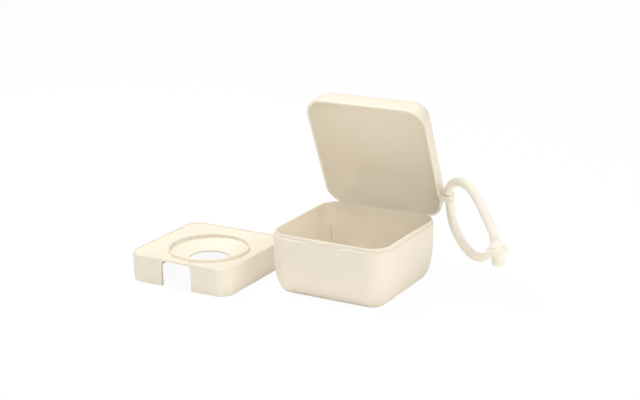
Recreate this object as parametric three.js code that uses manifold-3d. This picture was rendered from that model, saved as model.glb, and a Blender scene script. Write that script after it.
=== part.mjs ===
import * as THREE from "three";
import { mergeVertices } from "three/addons/utils/BufferGeometryUtils.js";
import Module from "manifold-3d";

// Soother box: a square tub with a hinged lid, a loose soother tray and a buttoned silicone strap.
// Millimetres. The origin is the middle of the tub's underside, +X right, +Y to the hinge, +Z up.
// The lid stands open, the tray stands on the table in front on the left, the strap hangs on the right.

const wasm = await Module();
wasm.setup();

// Base tub
const baseSide = 73.4;
const baseCorner = 12.5;
const baseWall = 1.85;
const baseFloor = 1.8;
const baseTaper = 0.65;
const ledgeHeight = 33.3;
const footCurveWidth = 6.4;
const footCurveHeight = 19.4;
const lipHeight = 2.1;
const lipThickness = 1.1;
const lipRounding = 0.3;

// Tray ribs in the tub's corners
const ribTop = 21.2;
const ribThickness = 1.7;
const ribProud = 1.9;

// Thumb recess and snap bead in the middle of the front
const recessWidth = 24;
const recessFootWidth = 15;
const recessHeight = 5.2;
const beadLength = 5.2;
const beadRadius = 0.6;
const beadProud = 0.4;
const beadRise = 1.25;
const beadClearance = 0.25;

// Lid shell
const lidWall = 1.3;
const lidTop = 1.8;
const lidHeight = 19.5;
const lidCorner = 11.2;
const lidLean = 2;
const lidCrown = 0.6;
const shoulderWidth = 10;
const shoulderHeight = 17.5;
const rimRounding = 0.3;
const lipGap = 0.35;
const seamGap = 0.3;
const lidOpenDegrees = 66.1;

// Hinge behind the rear wall
const pinDiameter = 1.2;
const pinClearance = 0.3;
const pinChamfer = 0.2;
const pinRecess = 0.4;
const knuckleWall = 1;
const knuckleGap = 0.35;
const lidKnuckleLength = 22;
const baseKnuckleLength = 9;
const hingeSetback = 1.3;
const hingeDrop = 1.1;
const baseWebDrop = 6.5;
const lidWebRise = 7.4;
const webJoinDegrees = 150;

// Ear on the lid's right side
const earReach = 4.15;
const earFromRear = 14.8;
const earWall = 1.2;
const earFront = 1.9;
const earRootRear = 3;
const earTipRear = 1;
const earFillet = 1.6;
const earClearance = 0.3;

// Strap, one silicone moulding that is buttoned into its own eyelet
const strapDiameter = 5;
const strapWaist = 3.6;
const strapHeadingDegrees = 29.4;
const buttonLeanDegrees = 20;
const buttonReach = 44.8;
const buttonDrop = 20.3;
const eyeletDiameter = 12.6;
const eyeletThickness = 3.4;
const eyeletRounding = 0.9;
const neckDiameter = 4;
const shoulderDiameter = 10.2;
const flareLength = 5;
const knobDiameter = 7.6;
const knobLength = 7;
const buttonClearance = 0.3;
const eyeletJoinClearance = 0.4;

// The strap's route from the button over the top and through the ear: places from the eye's middle,
// right, back and up, while the strap hangs plumb.
const strapOverTop = [
  [35.4, -19.9, -10.2],
  [32.7, -18.5, -6.4],
  [29.6, -16.7, -2.5],
  [26.4, -14.9, 1.4],
  [23.0, -13.0, 4.9],
  [19.7, -11.1, 7.8],
  [15.9, -8.9, 10.0],
  [11.5, -6.6, 11.0],
  [7.1, -4.6, 10.5],
  [3.3, -3.0, 8.3],
  [1.0, -1.8, 5.2],
  [0.0, -0.9, 2.1],
  [0.0, 0.0, 0.0],
  [0.0, 1.1, -2.6],
  [0.2, 1.3, -5.2],
  [1.2, 0.6, -9.9],
  [3.0, -1.0, -14.2],
  [5.8, -2.9, -18.4],
  [9.1, -4.9, -22.1],
  [13.3, -7.4, -25.4],
  [17.8, -10.0, -27.6],
  [22.1, -12.5, -28.5],
  [26.5, -14.9, -28.0],
  [30.5, -17.3, -26.0],
];

// Soother tray
const traySide = 67.8;
const trayHeight = 16.4;
const trayCorner = 8.8;
const trayTaper = 0.3;
const traySkirt = 1.5;
const trayPlate = 1.5;
const trayEdge = 0.35;
const rimWidth = 0.8;
const rimDrop = 0.6;
const plateDrop = 2.9;
const ringDiameter = 47.8;
const ringThickness = 1;
const ringRise = 1.8;
const dishStep = 0.2;
const holeDiameter = 23;
const holeDrop = 7.4;
const holeEdge = 1.1;
const notchWidth = 20;
const notchTopDrop = 1.3;
const notchDepth = 2;
const notchCorner = 2.5;
const trayPlaceX = -84.2;
const trayPlaceY = -22.4;

// Cutters run past the material by this much
const overrun = 1;

// Counts of facets
const cornerSteps = 7;
const curveSteps = 6;
const roundSteps = 24;
const tubeSides = 12;
const tubeSteps = 66;
const dishSteps = 5;
const traySideSteps = 6;

// Shares chosen by hand
const lidCornerShrinkShare = 0.6;
const crownShares = [0.7, 0.35];
const earRootShare = 0.9;
const dishBowlShare = 1.5;
const knobEndShare = 0.6;
const smallestCornerShare = 0.02;

const radians = THREE.MathUtils.degToRad;

// Values that follow from the driving ones
const baseHalf = baseSide / 2;
const lipHalf = baseHalf - baseWall + lipThickness;
const lidHalf = lipHalf + lipGap + lidWall;
const rimHeight = ledgeHeight + seamGap;
const barrelRadius = pinDiameter / 2 + pinClearance + knuckleWall;
const boreRadius = pinDiameter / 2 + pinClearance;
const hingeSweep = barrelRadius + knuckleGap;
const hingeY = baseHalf + hingeSetback;
const hingeZ = ledgeHeight - hingeDrop;
const baseKnuckleX = lidKnuckleLength / 2 + knuckleGap + baseKnuckleLength / 2;
const lidOpen = radians(lidOpenDegrees);
const earRadius = strapWaist / 2 + earClearance + earWall;
const eye = new THREE.Vector3(lidHalf + earReach, lidHalf - earFromRear, rimHeight + earRadius);

const ivory = { color: 0xf0e6d3, roughness: 0.5, metalness: 0 };
const silicone = { color: 0xefe4cf, roughness: 0.62, metalness: 0 };
const steel = { color: 0xb9bbbd, roughness: 0.3, metalness: 1 };

// Turns a closed geometry into a solid that can be cut and joined.
function solidOf(geometry) {
  const bare = geometry.index ? geometry.toNonIndexed() : geometry.clone();
  for (const name of Object.keys(bare.attributes)) {
    if (name !== "position") bare.deleteAttribute(name);
  }
  const merged = mergeVertices(bare);
  const vertProperties = new Float32Array(merged.attributes.position.array);
  const corners = merged.index.array;
  const kept = [];
  for (let start = 0; start < corners.length; start += 3) {
    const [a, b, c] = corners.slice(start, start + 3);
    if (a !== b && b !== c && c !== a) kept.push(a, b, c);
  }
  const triVerts = new Uint32Array(kept);
  return new wasm.Manifold(new wasm.Mesh({ numProp: 3, vertProperties, triVerts }));
}

// Turns a solid back into a named mesh with its own material.
function meshOf(solid, name, finish) {
  const { vertProperties, triVerts } = solid.getMesh();
  const geometry = new THREE.BufferGeometry();
  geometry.setAttribute("position", new THREE.BufferAttribute(new Float32Array(vertProperties), 3));
  geometry.setIndex(new THREE.BufferAttribute(new Uint32Array(triVerts), 1));
  geometry.computeVertexNormals();
  const mesh = new THREE.Mesh(geometry, new THREE.MeshStandardMaterial(finish));
  mesh.name = name;
  return mesh;
}

// A square outline with round corners, counter-clockwise, as a ring of points.
function squareOutline(half, corner, sideSteps = 1) {
  const radius = Math.min(Math.max(corner, half * smallestCornerShare), half);
  const flat = half - radius;
  const points = [];
  for (let quarter = 0; quarter < 4; quarter += 1) {
    const turn = (quarter * Math.PI) / 2;
    const centre = new THREE.Vector2(flat, flat).rotateAround(new THREE.Vector2(), turn);
    for (let step = 0; step <= cornerSteps; step += 1) {
      const angle = turn + ((step / cornerSteps) * Math.PI) / 2;
      points.push(new THREE.Vector2(Math.cos(angle), Math.sin(angle)).multiplyScalar(radius).add(centre));
    }
    const nextCentre = centre.clone().rotateAround(new THREE.Vector2(), Math.PI / 2);
    const outward = new THREE.Vector2(-Math.sin(turn), Math.cos(turn));
    const nextStart = nextCentre.addScaledVector(outward, radius);
    const last = points[points.length - 1];
    for (let step = 1; step < sideSteps; step += 1) {
      points.push(last.clone().lerp(nextStart, step / sideSteps));
    }
  }
  return points;
}

// A circle whose points lie on the same bearings as another outline's.
function circleOn(outline, radius) {
  return outline.map((point) => point.clone().setLength(radius));
}

// Skins a stack of outlines, each with its height. The ends are closed by fans or, for a hoop, joined.
function skin(rings, hoop, startRise = 0, endRise = 0) {
  const count = rings[0].outline.length;
  const positions = [];
  const corner = (ring, index) => {
    const { outline, z } = rings[ring % rings.length];
    const point = outline[index % count];
    return [point.x, point.y, z];
  };
  const last = hoop ? rings.length : rings.length - 1;
  for (let ring = 0; ring < last; ring += 1) {
    for (let index = 0; index < count; index += 1) {
      const [a, b] = [corner(ring, index), corner(ring, index + 1)];
      const [c, d] = [corner(ring + 1, index), corner(ring + 1, index + 1)];
      positions.push(...a, ...b, ...d, ...a, ...d, ...c);
    }
  }
  if (!hoop) {
    const top = rings.length - 1;
    for (let index = 0; index < count; index += 1) {
      positions.push(...corner(0, index + 1), ...corner(0, index), 0, 0, rings[0].z + startRise);
      positions.push(...corner(top, index), ...corner(top, index + 1), 0, 0, rings[top].z + endRise);
    }
  }
  const geometry = new THREE.BufferGeometry();
  geometry.setAttribute("position", new THREE.Float32BufferAttribute(positions, 3));
  return solidOf(geometry);
}

// A shape pushed straight out, with its own x, y and depth laid on three axes.
function prism(shape, depth, axes, origin) {
  const settings = { depth, bevelEnabled: false, curveSegments: roundSteps };
  const geometry = new THREE.ExtrudeGeometry(shape, settings);
  const place = new THREE.Matrix4().makeBasis(...axes).setPosition(origin);
  return solidOf(geometry.applyMatrix4(place));
}

// Axes for a shape drawn across the width and height and pushed to the front.
const frontward = [new THREE.Vector3(1, 0, 0), new THREE.Vector3(0, 0, 1), new THREE.Vector3(0, -1, 0)];
// Axes for a shape drawn in side view and pushed to the right.
const rightward = [new THREE.Vector3(0, 1, 0), new THREE.Vector3(0, 0, 1), new THREE.Vector3(1, 0, 0)];

// A cylinder on the hinge line from one place to another across the width.
function hingeCylinder(radius, from, to) {
  const geometry = new THREE.CylinderGeometry(radius, radius, to - from, roundSteps);
  geometry.rotateZ(Math.PI / 2).translate((from + to) / 2, hingeY, hingeZ);
  return solidOf(geometry);
}

// A bar with round ends across the middle of the front, on the lip's outer face.
function beadBar(extra) {
  const geometry = new THREE.CapsuleGeometry(beadRadius + extra, beadLength, curveSteps, tubeSides);
  geometry.rotateZ(Math.PI / 2).translate(0, beadRadius - beadProud - lipHalf, ledgeHeight + beadRise);
  return solidOf(geometry);
}

// One ring of the tub, drawn in from its widest outline.
function baseRing(inset, z) {
  const drawnIn = inset + baseTaper * Math.max(0, 1 - z / ledgeHeight);
  return { outline: squareOutline(baseHalf - drawnIn, baseCorner - drawnIn), z };
}

// The tub's shell: foot curve, side, ledge, lip, then the inside down to the floor.
function tubShell() {
  const rings = [];
  for (let step = 0; step <= curveSteps; step += 1) {
    const turn = ((step / curveSteps) * Math.PI) / 2;
    rings.push(baseRing(footCurveWidth * (1 - Math.sin(turn)), footCurveHeight * (1 - Math.cos(turn))));
  }
  const lipInset = baseWall - lipThickness;
  const lipTop = ledgeHeight + lipHeight;
  rings.push(baseRing(0, ledgeHeight));
  rings.push(baseRing(lipInset, ledgeHeight));
  rings.push(baseRing(lipInset, lipTop - lipRounding));
  rings.push(baseRing(lipInset + lipRounding, lipTop));
  rings.push(baseRing(baseWall - lipRounding, lipTop));
  rings.push(baseRing(baseWall, lipTop - lipRounding));
  for (let step = curveSteps; step >= 0; step -= 1) {
    const turn = ((step / curveSteps) * Math.PI) / 2;
    const inset = footCurveWidth - (footCurveWidth - baseWall) * Math.sin(turn);
    rings.push(baseRing(inset, footCurveHeight - (footCurveHeight - baseFloor) * Math.cos(turn)));
  }
  return skin(rings, false);
}

// Four upright ribs in the inner corners. The tray's skirt stands on their tops.
function cornerRibs() {
  const innerHalf = baseHalf - baseWall;
  const innerCorner = baseCorner - baseWall;
  const cornerReach = Math.SQRT2 * (innerHalf - innerCorner) + innerCorner;
  const length = ribProud + baseWall / 2;
  const height = ribTop - baseFloor / 2;
  const ribs = [];
  for (let quarter = 0; quarter < 4; quarter += 1) {
    const rib = new THREE.BoxGeometry(length, ribThickness, height);
    rib.translate(cornerReach - ribProud + length / 2, 0, ribTop - height / 2);
    rib.rotateZ(Math.PI / 4 + (quarter * Math.PI) / 2);
    ribs.push(solidOf(rib).intersect(tubEnvelope()));
  }
  return ribs;
}

// The tub's outside as one full body, which keeps the ribs inside the shell.
function tubEnvelope() {
  const rings = [];
  for (let step = 0; step <= curveSteps; step += 1) {
    const turn = ((step / curveSteps) * Math.PI) / 2;
    const inset = footCurveWidth * (1 - Math.sin(turn));
    rings.push(baseRing(inset + baseWall / 2, footCurveHeight * (1 - Math.cos(turn)) + baseFloor / 2));
  }
  rings.push(baseRing(baseWall / 2, ledgeHeight));
  return skin(rings, false);
}

// The thumb recess: a sloping scoop in the front wall that runs out below, with soft ends.
function thumbRecess() {
  const depth = baseWall - lipThickness;
  const slope = Math.atan2(depth - (baseTaper * recessHeight) / ledgeHeight, recessHeight);
  const tall = recessHeight / Math.cos(slope);
  const [wide, narrow] = [recessWidth / 2, recessFootWidth / 2];
  const shape = new THREE.Shape();
  shape.moveTo(-wide, tall);
  shape.bezierCurveTo(-narrow, tall, -narrow, tall / 2, -narrow, 0);
  shape.lineTo(narrow, 0);
  shape.bezierCurveTo(narrow, tall / 2, narrow, tall, wide, tall);
  const across = new THREE.Vector3(1, 0, 0);
  const up = new THREE.Vector3(0, Math.sin(slope), Math.cos(slope));
  const out = new THREE.Vector3().crossVectors(across, up);
  const foremost = lipHalf + recessHeight * Math.tan(slope);
  const foot = new THREE.Vector3(0, -foremost, ledgeHeight - recessHeight);
  return prism(shape, overrun + depth, [across, up, out], foot);
}

// Side view of a hinge knuckle: a barrel with a web that runs to the wall above or below.
function knuckleShape(wallY, webZ) {
  const upward = webZ > hingeZ;
  const [dy, dz] = [wallY - hingeY, webZ - hingeZ];
  const bearing = Math.atan2(dz, dy);
  const spread = Math.acos(barrelRadius / Math.hypot(dy, dz));
  const tangent = upward ? bearing - spread : bearing + spread;
  const inner = radians(webJoinDegrees);
  const shape = new THREE.Shape();
  shape.moveTo(wallY, webZ);
  if (upward) {
    shape.absarc(hingeY, hingeZ, barrelRadius, tangent, inner - 2 * Math.PI, true);
    shape.lineTo(wallY, rimHeight + lidWall);
  } else {
    shape.absarc(hingeY, hingeZ, barrelRadius, tangent, inner, false);
    shape.lineTo(wallY, hingeZ);
  }
  return shape;
}

// A knuckle pushed to its length about a place on the width, with the pin's bore through it.
function knuckleAt(middle, length, wallY, webZ) {
  const start = new THREE.Vector3(middle - length / 2, 0, 0);
  const solid = prism(knuckleShape(wallY, webZ), length, rightward, start);
  const reach = length / 2 + overrun;
  return solid.subtract(hingeCylinder(boreRadius, middle - reach, middle + reach));
}

// The tub with its ribs, snap bead, thumb recess and the two outer hinge knuckles.
function makeBase() {
  let body = tubShell();
  for (const rib of cornerRibs()) body = body.add(rib);
  body = body.add(beadBar(0).subtract(tubCavity()));
  body = body.subtract(thumbRecess());
  for (const side of [-1, 1]) {
    const [wallY, webZ] = [baseHalf - baseWall / 2, hingeZ - baseWebDrop];
    body = body.add(knuckleAt(side * baseKnuckleX, baseKnuckleLength, wallY, webZ));
  }
  const clear = lidKnuckleLength / 2 + knuckleGap;
  return body.subtract(hingeCylinder(hingeSweep, -clear, clear));
}

// The space inside the lip, so that the snap bead stays on the outside.
function tubCavity() {
  const middle = baseWall - lipThickness / 2;
  const [below, above] = [ledgeHeight - overrun, ledgeHeight + lipHeight + overrun];
  return skin([baseRing(middle, below), baseRing(middle, above)], false);
}

// One ring of the lid, drawn in from its widest outline. Heights count from the rim.
function lidRing(inset, z, scale = 1) {
  const drawnIn = inset + (lidLean * Math.min(z, lidHeight)) / lidHeight;
  const outline = squareOutline(lidHalf - drawnIn, lidCorner - drawnIn * lidCornerShrinkShare);
  return { outline: outline.map((point) => point.multiplyScalar(scale)), z: rimHeight + z };
}

// The lid's shell: the inside from its crown down to the rim, then the outside up to the crown.
function lidShell() {
  const rings = [];
  const sideHeight = lidHeight - shoulderHeight;
  const ceiling = lidHeight - lidTop;
  for (const share of [...crownShares].reverse()) {
    rings.push(lidRing(shoulderWidth, ceiling, share));
    rings[rings.length - 1].z += lidCrown * (1 - share * share);
  }
  for (let step = curveSteps; step >= 0; step -= 1) {
    const turn = ((step / curveSteps) * Math.PI) / 2;
    const inset = lidWall + (shoulderWidth - lidWall) * (1 - Math.cos(turn));
    rings.push(lidRing(inset, sideHeight + (shoulderHeight - lidTop) * Math.sin(turn)));
  }
  rings.push(lidRing(lidWall, rimRounding));
  rings.push(lidRing(lidWall - rimRounding, 0));
  rings.push(lidRing(rimRounding, 0));
  rings.push(lidRing(0, rimRounding));
  for (let step = 0; step <= curveSteps; step += 1) {
    const turn = ((step / curveSteps) * Math.PI) / 2;
    rings.push(lidRing(shoulderWidth * (1 - Math.cos(turn)), sideHeight + shoulderHeight * Math.sin(turn)));
  }
  for (const share of crownShares) {
    rings.push(lidRing(shoulderWidth, lidHeight, share));
    rings[rings.length - 1].z += lidCrown * (1 - share * share);
  }
  const apex = lidCrown * crownShares[crownShares.length - 1] ** 2;
  return skin(rings, false, apex, apex);
}

// The ear: a bored tab that is thick at the lid's side and thins to its tip.
function lidEar() {
  const root = lidHalf - lidWall * earRootShare;
  const tip = eye.x + earRadius;
  const face = new THREE.Shape();
  face.moveTo(root, 0);
  face.lineTo(eye.x, 0);
  face.absarc(eye.x, earRadius, earRadius, -Math.PI / 2, Math.PI / 2, false);
  const [blendX, blendTop] = [root + lidWall / 2, 2 * earRadius + earFillet];
  face.quadraticCurveTo(root + lidWall + earFillet, 2 * earRadius, blendX, blendTop);
  face.lineTo(root, 2 * earRadius);
  const depth = earFront + earRootRear;
  const tab = prism(face, depth, frontward, new THREE.Vector3(0, eye.y + earRootRear, rimHeight));
  const plan = new THREE.Shape();
  plan.moveTo(root - overrun, eye.y - earFront);
  plan.lineTo(tip + overrun, eye.y - earFront);
  plan.lineTo(tip + overrun, eye.y + earTipRear);
  plan.lineTo(tip, eye.y + earTipRear);
  plan.lineTo(lidHalf, eye.y + earRootRear);
  plan.lineTo(root - overrun, eye.y + earRootRear);
  const upright = [new THREE.Vector3(1, 0, 0), new THREE.Vector3(0, 1, 0), new THREE.Vector3(0, 0, 1)];
  const tall = 2 * (earRadius + overrun) + earFillet;
  const wedge = prism(plan, tall, upright, new THREE.Vector3(0, 0, rimHeight - overrun));
  const holeRadius = strapWaist / 2 + earClearance;
  const hole = new THREE.CylinderGeometry(holeRadius, holeRadius, 2 * (depth + overrun), roundSteps);
  return tab.intersect(wedge).subtract(solidOf(hole.translate(eye.x, eye.y, eye.z)));
}

// The lid with its ear, middle hinge knuckle, snap groove and room for the tub's knuckles.
function makeLid() {
  let body = lidShell().add(lidEar());
  body = body.add(knuckleAt(0, lidKnuckleLength, lidHalf - lidWall, hingeZ + lidWebRise));
  body = body.subtract(beadBar(beadClearance));
  for (const side of [-1, 1]) {
    const middle = side * baseKnuckleX;
    const reach = baseKnuckleLength / 2 + knuckleGap;
    body = body.subtract(hingeCylinder(hingeSweep, middle - reach, middle + reach));
  }
  return body;
}

// The hinge pin, with small chamfers on its ends.
function makePin() {
  const half = lidKnuckleLength / 2 + knuckleGap + baseKnuckleLength - pinRecess;
  const radius = pinDiameter / 2;
  const profile = [
    new THREE.Vector2(0, -half),
    new THREE.Vector2(radius - pinChamfer, -half),
    new THREE.Vector2(radius, pinChamfer - half),
    new THREE.Vector2(radius, half - pinChamfer),
    new THREE.Vector2(radius - pinChamfer, half),
    new THREE.Vector2(0, half),
  ];
  const geometry = new THREE.LatheGeometry(profile, roundSteps);
  geometry.rotateZ(Math.PI / 2).translate(0, hingeY, hingeZ);
  return solidOf(geometry);
}

// A round body on the button's own line. Its profile pairs a radius with a way down the line.
function onButtonLine(profile, frame) {
  const points = profile.map(([radius, way]) => new THREE.Vector2(radius, way));
  return solidOf(new THREE.LatheGeometry(points, roundSteps).applyMatrix4(frame));
}

// A quarter round between two places of a profile, from lying flat at the first to upright at the last.
function quarterRound([fromRadius, fromWay], [toRadius, toWay]) {
  const points = [];
  for (let step = 0; step <= curveSteps; step += 1) {
    const turn = ((step / curveSteps) * Math.PI) / 2;
    const radius = fromRadius + (toRadius - fromRadius) * Math.sin(turn);
    points.push([radius, fromWay + (toWay - fromWay) * (1 - Math.cos(turn))]);
  }
  return points;
}

// The button: flared shoulder, neck through the eyelet and round knob, as one turned body.
function strapButton(frame) {
  const half = eyeletThickness / 2;
  const knobTop = -half - buttonClearance;
  const shoulderFoot = half + buttonClearance;
  const knobEnd = knobTop - knobLength;
  const knobRadius = knobDiameter / 2;
  const flare = [];
  for (let step = 0; step <= curveSteps; step += 1) {
    const turn = ((step / curveSteps) * Math.PI) / 2;
    const radius = shoulderDiameter / 2 + ((strapDiameter - shoulderDiameter) / 2) * Math.sin(turn);
    flare.push([radius, shoulderFoot + eyeletRounding + flareLength * (1 - Math.cos(turn))]);
  }
  return onButtonLine([
    ...quarterRound([0, knobEnd], [knobRadius, knobEnd + knobRadius * knobEndShare]),
    [knobRadius, knobTop],
    [neckDiameter / 2, knobTop],
    [neckDiameter / 2, shoulderFoot],
    [shoulderDiameter / 2, shoulderFoot],
    ...flare,
    [0, shoulderFoot + eyeletRounding + flareLength],
  ], frame);
}

// The eyelet ring that the neck passes through.
function strapEyelet(frame) {
  const inner = neckDiameter / 2 + buttonClearance;
  const outer = eyeletDiameter / 2;
  const half = eyeletThickness / 2;
  return onButtonLine([
    [inner, -half],
    [outer - eyeletRounding, -half],
    [outer, eyeletRounding - half],
    [outer, half - eyeletRounding],
    [outer - eyeletRounding, half],
    [inner, half],
    [inner, -half],
  ], frame);
}

// Room that the tube's last stretch leaves round the shoulder and the knob.
function buttonRoom(frame) {
  const half = eyeletThickness / 2;
  const tall = strapDiameter + overrun;
  const shoulderRoom = shoulderDiameter / 2 + eyeletJoinClearance;
  const knobRoom = knobDiameter / 2 + eyeletJoinClearance;
  const bore = neckDiameter / 2 + buttonClearance;
  return onButtonLine([
    [0, -half - tall],
    [knobRoom, -half - tall],
    [knobRoom, -half],
    [bore, -half],
    [bore, half],
    [shoulderRoom, half],
    [shoulderRoom, half + tall],
    [0, half + tall],
  ], frame);
}

// A round tube along a list of places.
function tubeAlong(places) {
  const section = new THREE.Shape();
  section.absarc(0, 0, strapDiameter / 2, 0, 2 * Math.PI, false);
  const extrudePath = new THREE.CatmullRomCurve3(places, false, "centripetal");
  const settings = { steps: tubeSteps, extrudePath, curveSegments: tubeSides / 2 };
  return solidOf(new THREE.ExtrudeGeometry(section, settings));
}

// The groove round the tube where it passes the ear. The thicker tube on both sides holds it there.
function waistGroove() {
  const [low, high] = [-earRootRear - earClearance, earFront + earClearance];
  const profile = [
    [strapWaist / 2, low],
    [strapDiameter, low],
    [strapDiameter, high],
    [strapWaist / 2, high],
    [strapWaist / 2, low],
  ];
  const points = profile.map(([radius, way]) => new THREE.Vector2(radius, way));
  const geometry = new THREE.LatheGeometry(points, roundSteps);
  geometry.rotateX(Math.PI).rotateX(-lidOpen);
  return solidOf(geometry);
}

// The strap in its plumb place, with the ear's eye at the origin.
function makeStrap() {
  const heading = radians(strapHeadingDegrees);
  const lean = radians(buttonLeanDegrees);
  const out = new THREE.Vector3(Math.cos(heading), -Math.sin(heading), 0);
  const centre = out.clone().multiplyScalar(buttonReach).setZ(-buttonDrop);
  const up = out.clone().multiplyScalar(-Math.sin(lean)).setZ(Math.cos(lean));
  const side = new THREE.Vector3().crossVectors(up, out).normalize();
  const across = new THREE.Vector3().crossVectors(side, up);
  const frame = new THREE.Matrix4().makeBasis(across, up, side.negate()).setPosition(centre);
  const flareTop = eyeletThickness / 2 + buttonClearance + eyeletRounding + flareLength;
  const join = (neckDiameter + eyeletDiameter) / 4;
  const places = [
    centre.clone().addScaledVector(up, flareTop - overrun),
    centre.clone().addScaledVector(up, flareTop + overrun),
    ...strapOverTop.map((place) => new THREE.Vector3(...place)),
    centre.clone().addScaledVector(across, -join),
  ];
  const tube = tubeAlong(places).subtract(waistGroove());
  return tube.add(strapEyelet(frame)).subtract(buttonRoom(frame)).add(strapButton(frame));
}

// One square ring of the tray, drawn in from its top outline.
function traySquare(inset, z) {
  const drawnIn = inset + trayTaper * (1 - z / trayHeight);
  return { outline: squareOutline(traySide / 2 - drawnIn, trayCorner - drawnIn, traySideSteps), z };
}

// The tray's shell: skirt, rim, sloping plate, raised ring, dish and hole, then the underside.
function trayShell() {
  const bearings = squareOutline(traySide / 2, trayCorner, traySideSteps);
  const round = (radius, drop) => ({ outline: circleOn(bearings, radius), z: trayHeight - drop });
  const ringRadius = ringDiameter / 2;
  const innerRadius = ringRadius - ringThickness;
  const dishTop = plateDrop + dishStep;
  const dish = [];
  for (let step = 0; step <= dishSteps; step += 1) {
    const share = step / dishSteps;
    const radius = innerRadius + (holeDiameter / 2 - innerRadius) * share;
    dish.push([radius, dishTop + (holeDrop - dishTop) * (1 - (1 - share) ** dishBowlShare)]);
  }
  const under = dish.map(([radius, drop], index) => {
    const thickness = trayPlate + ((holeEdge - trayPlate) * index) / dishSteps;
    return [radius, drop + thickness];
  });
  return skin([
    traySquare(trayEdge, 0),
    traySquare(0, trayEdge),
    traySquare(0, trayHeight - trayEdge),
    traySquare(trayEdge, trayHeight),
    traySquare(rimWidth, trayHeight),
    traySquare(rimWidth, trayHeight - rimDrop),
    round(ringRadius, plateDrop),
    round(ringRadius, plateDrop - ringRise),
    round(innerRadius, plateDrop - ringRise),
    ...dish.map(([radius, drop]) => round(radius, drop)),
    ...under.reverse().map(([radius, drop]) => round(radius, drop)),
    traySquare(traySkirt, trayHeight - rimDrop - trayPlate),
    traySquare(traySkirt, 0),
  ], true);
}

// The tray with the finger notch in the front of its skirt.
function makeTray() {
  const half = notchWidth / 2;
  const top = trayHeight - notchTopDrop;
  const notch = new THREE.Shape();
  notch.moveTo(-half, -overrun);
  notch.lineTo(half, -overrun);
  notch.absarc(half - notchCorner, top - notchCorner, notchCorner, 0, Math.PI / 2, false);
  notch.absarc(notchCorner - half, top - notchCorner, notchCorner, Math.PI / 2, Math.PI, false);
  const inside = new THREE.Vector3(0, notchDepth - traySide / 2, 0);
  return trayShell().subtract(prism(notch, notchDepth + overrun, frontward, inside));
}

const box = new THREE.Group();
box.add(meshOf(makeBase(), "base_tub", ivory));
box.add(meshOf(makePin(), "hinge_pin", steel));

const tray = meshOf(makeTray(), "soother_tray", ivory);
tray.position.set(trayPlaceX, trayPlaceY, 0);
box.add(tray);

// The lid and what hangs on it turn about the hinge line.
const hinge = new THREE.Group();
hinge.position.set(0, hingeY, hingeZ);
hinge.rotation.x = -lidOpen;
const lid = meshOf(makeLid(), "lid", ivory);
lid.position.set(0, -hingeY, -hingeZ);
hinge.add(lid);

const strap = meshOf(makeStrap(), "strap", silicone);
strap.position.set(eye.x, eye.y - hingeY, eye.z - hingeZ);
strap.rotation.x = lidOpen;
hinge.add(strap);
box.add(hinge);

export default box;
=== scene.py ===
"""Looks of the soother box: the tub, its open lid, the tray, the buttoned strap and the hinge wire."""
from math import acos, atan2, copysign, cos, hypot, pi, radians, sin, sqrt

import bmesh
import bpy
from mathutils import Matrix, Vector


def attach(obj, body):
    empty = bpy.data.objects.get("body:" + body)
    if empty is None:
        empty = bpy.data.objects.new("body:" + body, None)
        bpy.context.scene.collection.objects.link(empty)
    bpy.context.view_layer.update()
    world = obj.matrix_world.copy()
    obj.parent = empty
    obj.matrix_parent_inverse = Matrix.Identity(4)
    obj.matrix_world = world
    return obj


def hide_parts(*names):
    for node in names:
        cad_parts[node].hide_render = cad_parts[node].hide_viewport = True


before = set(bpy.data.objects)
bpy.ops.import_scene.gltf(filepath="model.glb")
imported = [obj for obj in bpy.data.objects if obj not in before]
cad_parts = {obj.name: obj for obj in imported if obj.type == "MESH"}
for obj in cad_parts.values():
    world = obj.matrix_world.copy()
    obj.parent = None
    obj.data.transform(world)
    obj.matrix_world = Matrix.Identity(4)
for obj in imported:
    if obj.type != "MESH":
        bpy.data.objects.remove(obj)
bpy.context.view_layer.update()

bl_info = {
    "name": "Soother box",
    "version": (1, 0, 0),
    "blender": (4, 5, 0),
    "location": "View3D > Sidebar > Soother box",
    "description": "Builds a soother box with its lid, tray, strap and hinge wire",
    "category": "Object",
}

CORNER_STEPS = 20
# Steps along the rear, left, front and right side of a square
SIDE_STEPS = (64, 64, 64, 64)
TUB_SIDE_STEPS = (160, 32, 320, 32)
SIDE_CROWDING = 1.5
CURVE_STEPS = 22
ROUND_STEPS = 4
CROWN_STEPS = 22
WALL_STEPS = 10
FINE_STEPS = 14
TURN_STEPS = 64
TUBE_SIDES = 40
# Steps between two marks of the strap's route near the ear and elsewhere, and how far near reaches
NEAR_STEPS = 20
FAR_STEPS = 8
NEAR_REACH = 0.006
WELD = 1e-7
SLACK = 1e-6
SHARP_ANGLE = radians(38)
Z_AXIS = Vector((0, 0, 1))

# Snap bead: length between its round ends, radius, reach out of the lip, height over the ledge
BEAD_LENGTH = 0.0052
BEAD_RADIUS = 0.0006
BEAD_PROUD = 0.0004
BEAD_RISE = 0.00125
# Ear: from its bore to its front face and to its rear face at root and tip, and the curve at its root
EAR_FRONT = 0.0019
EAR_ROOT_REAR = 0.003
EAR_TIP_REAR = 0.001
EAR_FILLET = 0.0016
# How far the hinge webs run along the walls
TUB_WEB = 0.0065
LID_WEB = 0.0074
# Roundings and small steps in metres
EDGE_ROUNDING = 0.0003
LEDGE_ROUNDING = 0.0005
RECESS_ROUNDING = 0.00045
SKIRT_ROUNDING = 0.00035
RING_ROUNDING = 0.0002
NOTCH_ROUNDING = 0.00025
NOTCH_CORNER = 0.0025
EYELET_ROUNDING = 0.0009
WAIST_BLEND = 0.0005
WIRE_CHAMFER = 0.0002
WIRE_RECESS = 0.0004
DISH_STEP = 0.0002
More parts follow.
